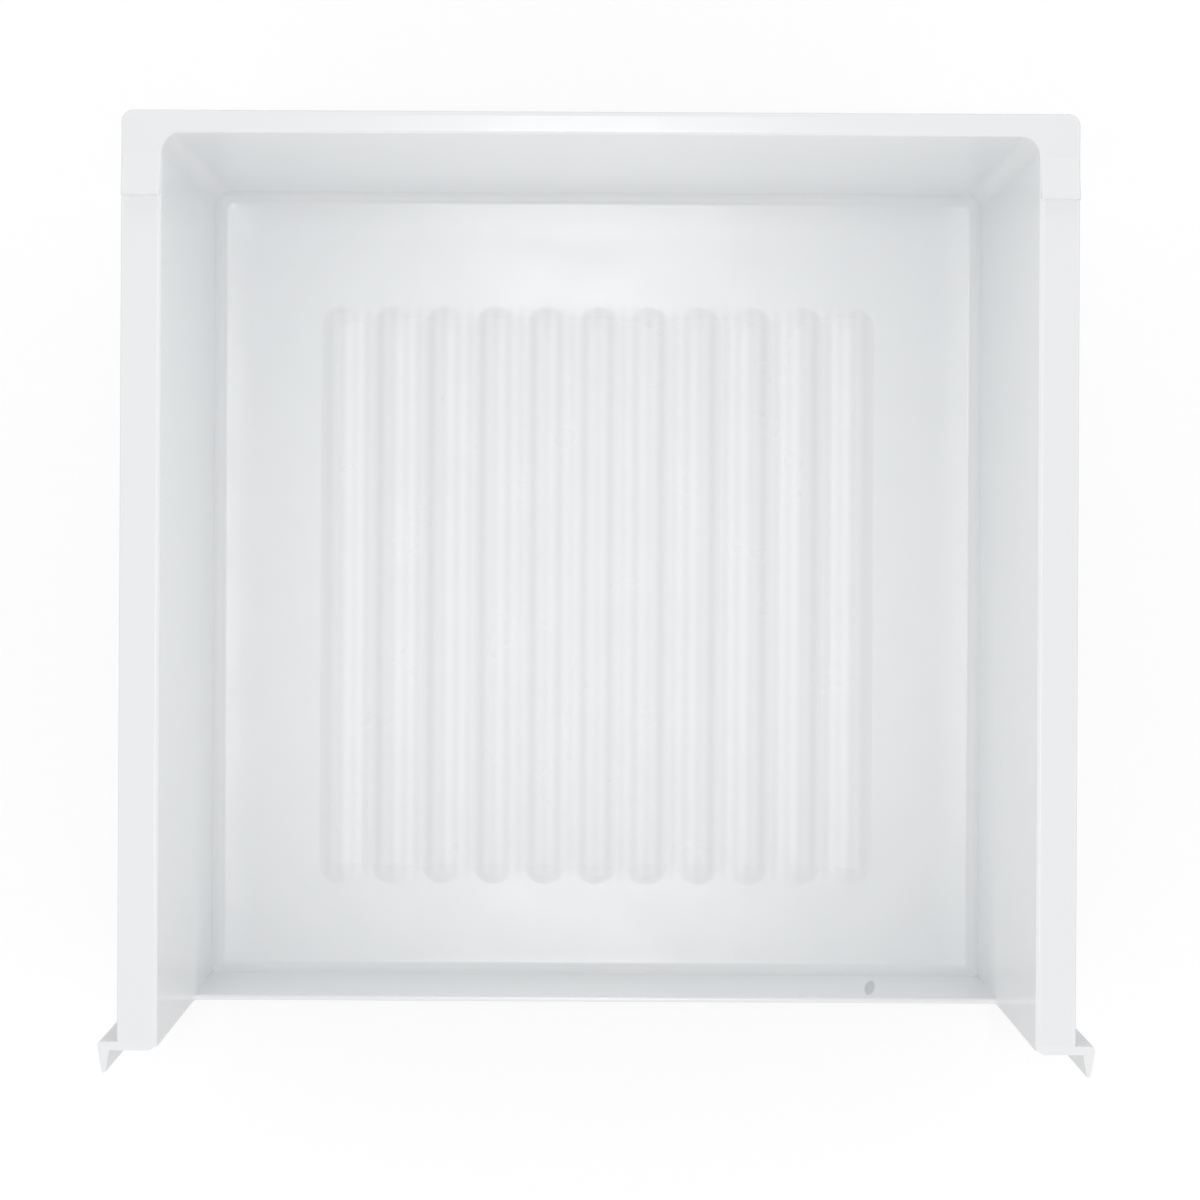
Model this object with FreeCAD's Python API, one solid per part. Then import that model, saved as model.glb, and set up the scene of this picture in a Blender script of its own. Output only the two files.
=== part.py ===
"""Refrigerator crisper drawer pan: a one-piece white plastic moulding, open at the top and front.

Millimetres, +Z up, +X to the right and -Y to the open front. The origin is under the middle of the
overall box, on the plane that the pan stands on.
"""
import FreeCAD, Part
import os
from math import asin, cos, radians, sin, tan

Vector = FreeCAD.Vector

# Overall sizes
pan_height = 190.0             # base to the top of the rim
runner_span = 402.0            # over the outer edges of the two runners
rim_depth = 394.7              # outer edge of the back rim to the front face of the flanges, at the rim

# Walls and their draft
wall = 2.5                     # side, back and front walls, measured level
floor_thickness = 2.5
side_draft = 4.0               # how far each side wall leans in on its way from the rim to the floor
back_draft = 4.9
front_draft = 8.6
corner_radius = 8.0            # inside radius of the upright corners at the back
floor_radius = 5.5             # inside radius between the floor and the side and back walls

# Rim and runners
runner_width = 17.0            # inner edge of the rim to the outer edge of a runner
back_rim_width = 9.6
rim_thickness = 3.0
rim_corner_radius = 5.0        # outside corners at the back, seen from above
rim_outer_edge = 2.0           # rounding of the outer top edge
rim_inner_edge = 1.5           # rounding of the inner top edge
bead_width = 2.5               # turned-down edge under the outside of the rim
bead_depth = 2.0
channel_gap = 2.0              # gusset of the flange to the front end of the channel under a runner

# Rear stops, ramps on top of the runners
stop_setback = 0.6             # end of the rounded inside corner to the low end of the ramp
stop_length = 17.8
stop_height = 5.0
stop_inset = 0.3               # its sides, in from the edges of the runner
stop_root = 2.6                # how deep it is rooted in the rim
stop_tail = 1.0                # how far its slope runs on under the rim's top

# Low front wall
front_wall_height = 72.0
front_wall_edge = 1.1          # rounding of its top edges
front_floor_radius = 5.0       # inside radius between the floor and the front wall
web_radius = 4.0               # turn from its top up into each side wall
web_sink = 0.3                 # how far that turn runs into the side wall

# Front flanges, their wings and forward lips
flange_thickness = 4.0
flange_step = 2.0              # how far the flange stands in front of the low wall
flange_foot = 10.0             # height of its lower end above the base
flare_radius = 5.0             # turn from the inside of the side wall to the front of the flange
gusset_length = 14.0           # thickening behind the flange, along the side wall
gusset_width = 3.0             # the same, along the flange
bend_radius = 5.5              # turn from the runner's top to the flange's front
wing_reach = 8.0               # how far the wing stands out past the runner
wing_edge = 1.4                # rounding of the wing's back edge
lip_reach = 10.8               # how far the lip stands out in front of the flange
lip_root = 4.6
lip_tip = 1.6
lip_curl = 0.5                 # how far the lip's outer face curves inwards
lip_slope = 35.0               # fall of the lip's top towards the front, in degrees

# Ridges of the floor
ridge_count = 11
ridge_pitch = 24.1
ridge_width = 24.0             # foot to foot
ridge_height = 0.3
ridge_length = 277.0           # over the rounded ends
ridge_shift = -1.0             # middle of the ridges, forward of the middle of the pan
ridge_sink = 0.02              # how far the ends of the side curves lie under the floor

# Working allowances, not sizes of the pan
overlap = 30.0                 # how far cutting shapes run past what they cut
touch = 0.01                   # two places closer than this are the same

# Levels and planes that follow from the sizes
rim_half = runner_span / 2 - runner_width
rim_underside = pan_height - rim_thickness
wall_rise = pan_height - floor_thickness
back_edge = (rim_depth + lip_reach) / 2
front_edge = back_edge - rim_depth
outer_corner_radius = corner_radius + wall
outer_floor_radius = floor_radius + floor_thickness


def inner_half_width(level):
    """Half the inside width between the side walls."""
    return rim_half - side_draft * (pan_height - level) / wall_rise


def inner_back(level):
    """Inside of the back wall."""
    return back_edge - back_rim_width - back_draft * (pan_height - level) / wall_rise


def flange_front(level):
    """Front face of the flanges."""
    return front_edge + front_draft * (pan_height - level) / wall_rise


def outer_front(level):
    """Outside of the low front wall."""
    return flange_front(level) + flange_step


def flat_at(level):
    """Test that picks the edges lying flat at a level."""
    return lambda edge: abs(edge.BoundBox.ZMin - level) < touch and edge.BoundBox.ZLength < touch


def rounded(solid, radius, wanted):
    """The solid with every edge that the test picks rounded."""
    return solid.makeFillet(radius, [edge for edge in solid.Edges if wanted(edge)])


def flat_face(curves):
    """Plane face inside a closed chain of curves."""
    return Part.Face(Part.Wire([curve.toShape() for curve in curves]))


def chain(*points):
    """Straight segments through the points."""
    return [Part.LineSegment(start, end) for start, end in zip(points, points[1:])]


def drafted_block(half_width, front, back, low, high):
    """Block with plane leaning sides: each side is a function that gives its place at a level."""
    corners = []
    for level in (low, high):
        half = half_width(level)
        corners.append([
            Vector(-half, front(level), level),
            Vector(half, front(level), level),
            Vector(half, back(level), level),
            Vector(-half, back(level), level),
        ])
    bottom, top = corners
    loops = [bottom[::-1], top]
    for first in range(len(bottom)):
        second = (first + 1) % len(bottom)
        loops.append([bottom[first], bottom[second], top[second], top[first]])
    faces = [Part.Face(Part.makePolygon(loop + loop[:1])) for loop in loops]
    return Part.Solid(Part.Shell(faces))


def upright_at_back(edge):
    """Picks the two upright corner edges at the back of a drafted block."""
    return edge.BoundBox.ZLength > touch and edge.BoundBox.YMin > 0


def outer_tub():
    """Outside of the pan below the rim, solid."""
    block = drafted_block(
        lambda level: inner_half_width(level) + wall,
        outer_front,
        lambda level: inner_back(level) + wall,
        0.0,
        pan_height - rim_thickness / 2,
    )
    block = rounded(block, outer_corner_radius, upright_at_back)
    return rounded(block, outer_floor_radius, flat_at(0.0))


def inside_space():
    """Space inside the walls, run out through the front and the top."""
    far_front = front_edge - overlap
    block = drafted_block(
        inner_half_width,
        lambda level: far_front,
        inner_back,
        floor_thickness,
        pan_height + overlap,
    )
    block = rounded(block, corner_radius, upright_at_back)
    at_floor = flat_at(floor_thickness)
    return rounded(
        block, floor_radius, lambda edge: at_floor(edge) and edge.BoundBox.YMax > far_front + touch
    )


def rim_outline(inset, front, level):
    """Outline of the rim seen from above, moved in by an amount, with rounded back corners."""
    half = runner_span / 2 - inset
    back = back_edge - inset
    radius = max(rim_corner_radius - inset, touch)
    diagonal = radius * (1 - cos(radians(45)))
    curves = chain(
        Vector(-half, back - radius, level),
        Vector(-half, front, level),
        Vector(half, front, level),
        Vector(half, back - radius, level),
    )
    curves.append(Part.Arc(
        Vector(half, back - radius, level),
        Vector(half - diagonal, back - diagonal, level),
        Vector(half - radius, back, level),
    ))
    curves += chain(Vector(half - radius, back, level), Vector(radius - half, back, level))
    curves.append(Part.Arc(
        Vector(radius - half, back, level),
        Vector(diagonal - half, back - diagonal, level),
        Vector(-half, back - radius, level),
    ))
    return flat_face(curves)


def rim_plate():
    """Plate of the rim with its turned-down edge, not yet opened over the inside."""
    low = rim_underside - bead_depth
    front = front_edge + flange_thickness / 2
    plate = rim_outline(0.0, front, low).extrude(Vector(0, 0, rim_thickness + bead_depth))
    at_top = flat_at(pan_height)
    plate = rounded(
        plate, rim_outer_edge, lambda edge: at_top(edge) and edge.BoundBox.YMax > front + touch
    )
    channel_front = front_edge + flange_thickness + gusset_length + channel_gap
    channel = rim_outline(bead_width, channel_front, low).extrude(Vector(0, 0, bead_depth))
    return plate.cut(channel)


def front_opening():
    """Block that leaves the opening over the low wall, with its two lower corners rounded."""
    half = inner_half_width(front_wall_height) + web_sink
    far_front = front_edge - overlap
    block = Part.makeBox(
        2 * half, rim_depth / 2, wall_rise, Vector(-half, far_front, front_wall_height)
    )
    at_foot = flat_at(front_wall_height)
    return rounded(block, web_radius, lambda edge: at_foot(edge) and edge.BoundBox.XLength < touch)


def front_wall(tub):
    """Low wall at the front, with a rounded top and a curved foot on the floor."""
    bar_top = front_wall_height + 2 * web_radius
    lean = front_draft / wall_rise
    face_at_floor = outer_front(floor_thickness) + wall
    face_at_top = outer_front(bar_top) + wall
    turn = radians(90) - asin(lean / (1 + lean ** 2) ** 0.5)
    foot = front_floor_radius * tan(turn / 2)
    foot_end = face_at_floor + foot
    middle = Vector(0, foot_end, floor_thickness + front_floor_radius)
    foot_start = middle + Vector(0, -sin(turn), -cos(turn)) * front_floor_radius
    foot_middle = middle + Vector(0, -sin(turn / 2), -cos(turn / 2)) * front_floor_radius
    foot_back = foot_end + front_floor_radius
    far_front = front_edge - overlap
    below = floor_thickness / 2
    curves = [Part.Arc(foot_start, foot_middle, Vector(0, foot_end, floor_thickness))]
    curves += chain(
        Vector(0, foot_end, floor_thickness),
        Vector(0, foot_back, floor_thickness),
        Vector(0, foot_back, below),
        Vector(0, far_front, below),
        Vector(0, far_front, bar_top),
        Vector(0, face_at_top, bar_top),
        foot_start,
    )
    bar = flat_face(curves)
    bar.translate(Vector(-runner_span / 2, 0, 0))
    piece = bar.extrude(Vector(runner_span, 0, 0)).common(tub).cut(front_opening())
    at_top = flat_at(front_wall_height)
    return rounded(
        piece, front_wall_edge, lambda edge: at_top(edge) and edge.BoundBox.XLength > runner_span / 2
    )


def right_flange():
    """Flange at the front of the right side wall, with flare, wing and lip, along the leaning corner."""
    low = -overlap
    high = pan_height + overlap
    start = Vector(inner_half_width(low), flange_front(low), low)
    corner_line = Vector(inner_half_width(high), flange_front(high), high) - start
    along = Vector(corner_line).normalize()
    outwards = (Vector(1, 0, 0) - along * along.x).normalize()
    backwards = (Vector(0, 1, 0) - along * along.y).normalize()
    wing = runner_width + wing_reach

    def place(out, back):
        return start + outwards * out + backwards * back

    flare_middle = flare_radius * (1 - sin(radians(45)))
    tip_end = lip_tip / 2 - lip_reach
    tip_outside = wing - lip_curl
    tip_inside = tip_outside - lip_tip
    curl_radius = (lip_curl ** 2 + tip_end ** 2) / (2 * lip_curl)
    curl_turn = asin(-tip_end / curl_radius) / 2
    curl_middle = place(wing - curl_radius * (1 - cos(curl_turn)), -curl_radius * sin(curl_turn))
    edge_middle = wing_edge * (1 - sin(radians(45)))
    gusset_end = flange_thickness + gusset_length

    curves = [Part.Arc(place(0, flare_radius), place(flare_middle, flare_middle), place(flare_radius, 0))]
    curves += chain(place(flare_radius, 0), place(wing - lip_root, 0), place(tip_inside, tip_end))
    curves.append(Part.Arc(
        place(tip_inside, tip_end),
        place(tip_outside - lip_tip / 2, -lip_reach),
        place(tip_outside, tip_end),
    ))
    curves.append(Part.Arc(place(tip_outside, tip_end), curl_middle, place(wing, 0)))
    curves += chain(place(wing, 0), place(wing, flange_thickness - wing_edge))
    curves.append(Part.Arc(
        place(wing, flange_thickness - wing_edge),
        place(wing - edge_middle, flange_thickness - edge_middle),
        place(wing - wing_edge, flange_thickness),
    ))
    curves += chain(
        place(wing - wing_edge, flange_thickness),
        place(wall + gusset_width, flange_thickness),
        place(wall / 2, gusset_end),
        place(0, gusset_end),
        place(0, flare_radius),
    )
    length = Part.makeBox(
        runner_span, rim_depth, pan_height - flange_foot, Vector(0, -rim_depth, flange_foot)
    )
    return flat_face(curves).extrude(corner_line).common(length)


def flange_top_waste():
    """What the bend from the runners to the flanges and the fall of the lips take off the top."""
    start = front_edge + bend_radius
    middle = Vector(0, start, pan_height - bend_radius)
    fall = radians(lip_slope)
    bend_end = middle + Vector(0, -sin(fall), cos(fall)) * bend_radius
    bend_middle = middle + Vector(0, -sin(fall / 2), cos(fall / 2)) * bend_radius
    run = overlap + lip_reach
    slope_end = bend_end + Vector(0, -run, -run * tan(fall))
    above = pan_height + overlap
    curves = [Part.Arc(Vector(0, start, pan_height), bend_middle, bend_end)]
    curves += chain(
        bend_end,
        slope_end,
        Vector(0, slope_end.y, above),
        Vector(0, start, above),
        Vector(0, start, pan_height),
    )
    waste = flat_face(curves)
    waste.translate(Vector(-runner_span, 0, 0))
    return waste.extrude(Vector(2 * runner_span, 0, 0))


def right_stop():
    """Ramp at the back of the right runner, with an upright face to the front."""
    low_end = inner_back(pan_height) - corner_radius - stop_setback
    high_end = low_end - stop_length
    tail_end = low_end + stop_tail
    sunk = pan_height - stop_root
    side = flat_face(chain(
        Vector(0, tail_end, pan_height - stop_tail * stop_height / stop_length),
        Vector(0, high_end, pan_height + stop_height),
        Vector(0, high_end, sunk),
        Vector(0, tail_end, sunk),
        Vector(0, tail_end, pan_height - stop_tail * stop_height / stop_length),
    ))
    inside = rim_half + stop_inset
    outside = runner_span / 2 - stop_inset
    side.translate(Vector(inside, 0, 0))
    ramp = side.extrude(Vector(outside - inside, 0, 0))

    def along_slope(edge, place):
        box = edge.BoundBox
        return box.YLength > stop_length and box.ZLength > stop_height and abs(box.XMin - place) < touch

    ramp = rounded(ramp, rim_outer_edge, lambda edge: along_slope(edge, outside))
    return rounded(ramp, rim_inner_edge, lambda edge: along_slope(edge, inside))


def ridge():
    """One ridge with round ends, standing on the level z = 0 and sunk into it."""
    half = ridge_width / 2
    rise = ridge_height + ridge_sink
    radius = (half ** 2 + rise ** 2) / (4 * rise)
    turn = asin(half / 2 / radius)
    sunk = -floor_thickness / 2
    straight = ridge_length - ridge_width
    crest_middle = Vector(0, 0, ridge_height - radius)
    foot_middle = Vector(half, 0, radius - ridge_sink)

    def crest(angle):
        return crest_middle + Vector(sin(angle), 0, cos(angle)) * radius

    def foot(angle):
        return foot_middle - Vector(sin(angle), 0, cos(angle)) * radius

    flank = flat_face(
        [Part.Arc(crest(0), crest(turn / 2), crest(turn)), Part.Arc(foot(turn), foot(turn / 2), foot(0))]
        + chain(foot(0), Vector(half, 0, sunk), Vector(0, 0, sunk), crest(0))
    )
    flank.translate(Vector(0, -straight / 2, 0))
    run = flank.extrude(Vector(0, straight, 0))
    run = run.fuse(run.mirror(Vector(), Vector(1, 0, 0)))
    end = flank.revolve(Vector(0, -straight / 2, 0), Vector(0, 0, 1), -180)
    return run.fuse([end, end.mirror(Vector(), Vector(0, 1, 0))]).removeSplitter()


def ridges(level):
    """All the ridges, standing on a level."""
    first = -ridge_pitch * (ridge_count - 1) / 2
    pattern = []
    for number in range(ridge_count):
        copy = ridge()
        copy.translate(Vector(first + number * ridge_pitch, ridge_shift, level))
        pattern.append(copy)
    return pattern


def both_sides(solid):
    """A solid and its mirror image on the other side of the pan."""
    return [solid, solid.mirror(Vector(), Vector(1, 0, 0))]


def crisper_pan():
    """The whole moulding."""
    tub = outer_tub()
    space = inside_space()
    pan = tub.fuse(rim_plate()).cut(space)
    pan = pan.fuse([front_wall(tub)] + both_sides(right_flange()))
    pan = pan.cut(flange_top_waste()).removeSplitter()
    at_rim = flat_at(pan_height)

    def rim_inside(edge):
        box = edge.BoundBox
        return at_rim(edge) and abs(box.XMin) < rim_half + touch and abs(box.XMax) < rim_half + touch

    pan = rounded(pan, rim_inner_edge, rim_inside)
    pan = pan.fuse(both_sides(right_stop()))
    pan = pan.fuse(ridges(floor_thickness)).cut(ridges(0.0))
    return pan.removeSplitter()


pan = crisper_pan()
box = pan.optimalBoundingBox(False)
pan.translate(Vector(-box.Center.x, -box.Center.y, -box.ZMin))
os.makedirs("parts", exist_ok=True)
pan.exportStep("parts/crisper_pan.step")
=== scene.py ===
from math import pi, radians

import bmesh
import bpy
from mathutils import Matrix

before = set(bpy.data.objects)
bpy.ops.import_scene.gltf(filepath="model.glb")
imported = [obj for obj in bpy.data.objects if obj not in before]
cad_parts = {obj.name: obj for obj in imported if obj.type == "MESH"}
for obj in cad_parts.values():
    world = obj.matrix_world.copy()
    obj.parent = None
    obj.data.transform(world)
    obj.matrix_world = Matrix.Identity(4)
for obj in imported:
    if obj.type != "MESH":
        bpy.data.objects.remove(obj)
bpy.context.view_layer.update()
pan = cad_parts["crisper_pan"]

# Lengths and places are in metres, and scales of patterns are per metre.

# Camera, straight above the pan as in the photo
camera_place = (-0.007, 0.00705, 1.655)
camera_turn = 0.3                    # degrees
focal_length = 104.97                # mm, as the next
sensor_width = 36.0
frame_shift = (0.015, -0.0183)       # share of the frame's width

# Light
zenith_light = 0.43                  # the room is brighter at the sides than above
horizon_light = 1.17
room_colour = (1.0, 1.0, 1.0)
lamp_light = 16.4                    # brightness where all the lamp's panels overlap
lamp_height = 6.0
lamp_middle = 0.03                   # Y
lamp_length = 1.66
lamp_widths = (0.2, 0.4, 0.6)        # panels over each other, so that the lamp fades to its sides
panel_gap = 0.01

# Floor under the pan
floor_half = 5.0
floor_gap = 0.0001                   # below the pan, so that no two faces coincide
floor_colour = (0.45, 0.45, 0.45)    # for the light that it throws back
mirrored_floor_colour = (0.85, 0.85, 0.85)
shown_floor_colour = (0.53, 0.53, 0.53)
shown_glow = 0.55                    # with that colour, the white that the camera sees

# Plastic
plastic_colour = (0.944, 0.956, 0.966)
mottle_colour = (0.93, 0.943, 0.954)
mottle_scale = 30.0
mottle_detail = 3.0
mottle_spread = 0.25                 # how far from its mean a cloud has its full colour
plastic_roughness = 0.16
roughness_change = 0.05
floor_roughness = 0.06               # added on the pan's floor
worn_roughness = 0.06                # added again on its ridges
plastic_index = 1.59

# Skin of the moulding
skin_scale = 700.0
skin_detail = 2.0
skin_height = 0.000004
wave_scale = 26.0
wave_detail = 1.0
wave_height = 0.00006
streak_scale = 420.0
streak_detail = 2.0
streak_stretch = (1.0, 0.025, 1.0)   # long along the ridges
streak_height = 0.00001

# Floor of the pan, with painted highlight stripes along its ridges: pale painted highlights with
# painted shade between them
ridge_top = 0.0028                   # Z
floor_fade = 0.0048                  # Z where what is only on the floor has faded out
ridges_centre = 0.0                  # Y
ridges_half_length = 0.1385
ridges_half_width = 0.1325
ridges_edge = 0.012
# Painted highlight and painted shade: colours of the pale stripes that stand in for the lamp's
# reflections along the ridges, and of the darker places between them
painted_highlight_colour = (0.972, 0.98, 0.987)
painted_shade_stripe_colour = (0.917, 0.928, 0.938)
highlight_stripe_pitch = 0.006025                # four painted highlight stripes on each ridge
highlight_stripe_shift = 0.0029                  # X of the palest painted highlight beside the middle ridge

# Grey mark on the inside of the low front wall
mark_colour = (0.64, 0.65, 0.665)
mark_roughness = 0.14                # added on the mark
mark_middle = 0.1264                 # X
mark_low = 0.022                     # Z of its lower end
mark_high = 0.0655                   # Z of its upper end
mark_half_width = 0.0027
mark_taper = 0.6                     # 0.5 is an ellipse, more has sharper ends
mark_lean = 0.0049                   # how much further out its lower end is
mark_edge = 0.0007
mark_back = -0.17                    # Y that keeps it on the front wall
wall_lean = 0.0459                   # of the front wall, Y for each Z
wall_middle = -0.1802                # Y of the middle of the front wall's thickness, at Z = 0

# A Mix node's sockets for colours, by their numbers
mix_first, mix_second, mix_result = 6, 7, 2


class Socket:
    """An output of a shader node. Each operator adds a Math node, and add() adds any other node."""

    def __init__(self, tree, output):
        self.tree = tree
        self.output = output

    def add(self, kind, settings, inputs, output=0):
        """Adds a node with its settings, then its inputs, and gives one of its outputs."""
        node = self.tree.nodes.new(kind)
        for name, value in settings.items():
            setattr(node, name, value)
        for name, value in inputs.items():
            feed(self.tree, node.inputs[name], value)
        return Socket(self.tree, node.outputs[output])

    def math(self, operation, *values):
        return self.add("ShaderNodeMath", {"operation": operation}, dict(enumerate(values)))

    def __add__(self, other):
        return self.math("ADD", self, other)

    def __radd__(self, other):
        return self.math("ADD", other, self)

    def __sub__(self, other):
        return self.math("SUBTRACT", self, other)

    def __rsub__(self, other):
        return self.math("SUBTRACT", other, self)

    def __mul__(self, other):
        return self.math("MULTIPLY", self, other)

    def __rmul__(self, other):
        return self.math("MULTIPLY", other, self)

    def __truediv__(self, other):
        return self.math("DIVIDE", self, other)

    def __rtruediv__(self, other):
        return self.math("DIVIDE", other, self)

    def __pow__(self, other):
        return self.math("POWER", self, other)

    def __rpow__(self, other):
        return self.math("POWER", other, self)

    def __gt__(self, other):
        return self.math("GREATER_THAN", self, other)

    def __lt__(self, other):
        return self.math("LESS_THAN", self, other)

    def __abs__(self):
        return self.math("ABSOLUTE", self)


def feed(tree, target, value):
    """Links a socket to an input, or sets a plain value on it."""
    if isinstance(value, Socket):
        tree.links.new(value.output, target)
    else:
        target.default_value = value


def colour(values):
    """A colour with full cover."""
    return (*values, 1.0)


def new_material(name):
    """A material with an empty node tree, and its place on the object as a socket."""
    material = bpy.data.materials.new(name)
    material.use_nodes = True
    tree = material.node_tree
    tree.nodes.clear()
    place = Socket(tree, tree.nodes.new("ShaderNodeTexCoord").outputs["Object"])
    return material, place


def show(shader):
    """Ends a material with its shader."""
    end = shader.tree.nodes.new("ShaderNodeOutputMaterial")
    feed(shader.tree, end.inputs["Surface"], shader)


def along(place, axis):
    """One coordinate of a place."""
    return place.add("ShaderNodeSeparateXYZ", {}, {"Vector": place}, axis)


def between(value, start, stop, step="SMOOTHSTEP"):
    """Step from 0 at start to 1 at stop, soft unless another kind is named."""
    return value.add(
        "ShaderNodeMapRange", {"interpolation_type": step},
        {"Value": value, "From Min": start, "From Max": stop},
    )


def blended(factor, first, second):
    """Colour between two colours."""
    return factor.add(
        "ShaderNodeMix", {"data_type": "RGBA"},
        {"Factor": factor, mix_first: first, mix_second: second}, mix_result,
    )


def clouds(place, scale, detail):
    """Soft random pattern about 0."""
    noise = place.add("ShaderNodeTexNoise", {}, {"Vector": place, "Scale": scale, "Detail": detail})
    return noise - 0.5


def grey_mark(place):
    """Where the leaning, leaf-shaped mark is, from 0 to 1."""
    across, deep, up = along(place, "X"), along(place, "Y"), along(place, "Z")
    rise = between(up, mark_low, mark_high, "LINEAR")
    half_width = (4 * rise * (1 - rise)) ** mark_taper * mark_half_width
    offset = across - mark_middle + (rise - 0.5) * mark_lean
    inside = between(half_width - abs(offset), 0.0, mark_edge)
    on_face = deep + up * wall_lean > wall_middle
    return inside * on_face * (deep < mark_back)


def on_floor(place):
    """Where the floor of the pan is, from 0 to 1."""
    return between(along(place, "Z"), floor_fade, ridge_top)


def ribbed_floor(place):
    """Where the floor has its ridges, from 0 to 1."""
    from_middle = abs(along(place, "X"))
    from_centre = abs(along(place, "Y") - ridges_centre)
    sideways = between(from_middle, ridges_half_width, ridges_half_width - ridges_edge)
    lengthways = between(from_centre, ridges_half_length, ridges_half_length - ridges_edge)
    return sideways * lengthways * on_floor(place)


def painted_highlight_stripes(place):
    """Painted highlight stripes along the ridges, from 0 at the palest painted highlight to 1 at the
    painted shade between them.
    """
    turn = (along(place, "X") - highlight_stripe_shift) * (2 * pi / highlight_stripe_pitch)
    return (1 - turn.math("COSINE", turn)) / 2


def skin(place):
    """Normal of the moulded skin: fine grain, slow waves, and streaks along the floor's ridges."""
    stretched = place.add("ShaderNodeMapping", {}, {"Vector": place, "Scale": streak_stretch})
    grain = clouds(place, skin_scale, skin_detail) * skin_height
    waves = clouds(place, wave_scale, wave_detail) * wave_height
    streaks = clouds(stretched, streak_scale, streak_detail) * on_floor(place) * streak_height
    return place.add(
        "ShaderNodeBump", {},
        {"Strength": 1.0, "Distance": 1.0, "Height": grain + waves + streaks},
    )


def white_plastic():
    """Glossy white moulded plastic with faint clouds, worn ridges with painted highlight stripes,
    and one grey mark.
    """
    material, place = new_material("white_plastic")
    cloud = clouds(place, mottle_scale, mottle_detail)
    mottled = between(cloud, -mottle_spread, mottle_spread)
    plain = blended(mottled, colour(plastic_colour), colour(mottle_colour))
    # painted highlight stripes with painted shade between them, in the base colour of the ridged
    # floor
    painted_stripes = blended(painted_highlight_stripes(place), colour(painted_highlight_colour), colour(painted_shade_stripe_colour))
    ribbed = ribbed_floor(place)
    worn = on_floor(place) * floor_roughness + ribbed * worn_roughness
    mark = grey_mark(place)
    shader = place.add(
        "ShaderNodeBsdfPrincipled", {},
        {
            "Base Color": blended(mark, blended(ribbed, plain, painted_stripes), colour(mark_colour)),
            "Roughness": plastic_roughness + cloud * roughness_change + worn + mark * mark_roughness,
            "IOR": plastic_index,
            "Normal": skin(place),
        },
    )
    show(shader)
    return material


def pale_floor():
    """Matt pale floor. The camera sees it white, with the pan's faint shadow on it."""
    material, place = new_material("pale_floor")

    def matt(values):
        return place.add("ShaderNodeBsdfDiffuse", {}, {"Color": colour(values)})

    def ray(kind):
        return place.add("ShaderNodeLightPath", {}, {}, kind)

    def mixed(factor, first, second):
        return place.add("ShaderNodeMixShader", {}, {0: factor, 1: first, 2: second})

    mirrored = place.math("MAXIMUM", ray("Is Glossy Ray"), ray("Is Transmission Ray"))
    glow = place.add("ShaderNodeEmission", {}, {"Strength": shown_glow})
    shown = place.add("ShaderNodeAddShader", {}, {0: matt(shown_floor_colour), 1: glow})
    around = mixed(mirrored, matt(floor_colour), matt(mirrored_floor_colour))
    show(mixed(ray("Is Camera Ray"), around, shown))
    return material


def add_floor():
    """Level floor under the pan."""
    form = bmesh.new()
    bmesh.ops.create_grid(form, x_segments=1, y_segments=1, size=floor_half)
    bmesh.ops.translate(form, vec=(0, 0, -floor_gap), verts=form.verts)
    mesh = bpy.data.meshes.new("floor")
    form.to_mesh(mesh)
    form.free()
    mesh.materials.append(pale_floor())
    floor = bpy.data.objects.new("floor", mesh)
    bpy.context.scene.collection.objects.link(floor)


def add_lamp():
    """Long lamp over the middle of the pan, of level panels that shine down."""
    for number, width in enumerate(lamp_widths):
        light = bpy.data.lights.new("lamp_panel", "AREA")
        light.shape = "RECTANGLE"
        light.size, light.size_y = width, lamp_length
        light.energy = lamp_light / len(lamp_widths) * pi * width * lamp_length
        panel = bpy.data.objects.new("lamp_panel", light)
        panel.location = (0, lamp_middle, lamp_height + number * panel_gap)
        bpy.context.scene.collection.objects.link(panel)


def add_camera():
    """Camera above the pan, turned a little as in the photo."""
    lens = bpy.data.cameras.new("camera")
    lens.sensor_width = sensor_width
    lens.lens = focal_length
    lens.shift_x, lens.shift_y = frame_shift
    camera = bpy.data.objects.new("camera", lens)
    camera.location = camera_place
    camera.rotation_euler = (0, 0, radians(camera_turn))
    bpy.context.scene.collection.objects.link(camera)
    bpy.context.scene.camera = camera


def add_room():
    """Soft light from all round."""
    world = bpy.data.worlds.new("room")
    world.use_nodes = True
    tree = world.node_tree
    background = tree.nodes["Background"]
    direction = Socket(tree, tree.nodes.new("ShaderNodeTexCoord").outputs["Generated"])
    above = along(direction, "Z") ** 2
    strength = horizon_light + above * (zenith_light - horizon_light)
    feed(tree, background.inputs["Color"], colour(room_colour))
    feed(tree, background.inputs["Strength"], strength)
    bpy.context.scene.world = world


bpy.context.scene.view_settings.view_transform = "Standard"
pan.data.materials.clear()
pan.data.materials.append(white_plastic())
add_floor()
add_lamp()
add_camera()
add_room()
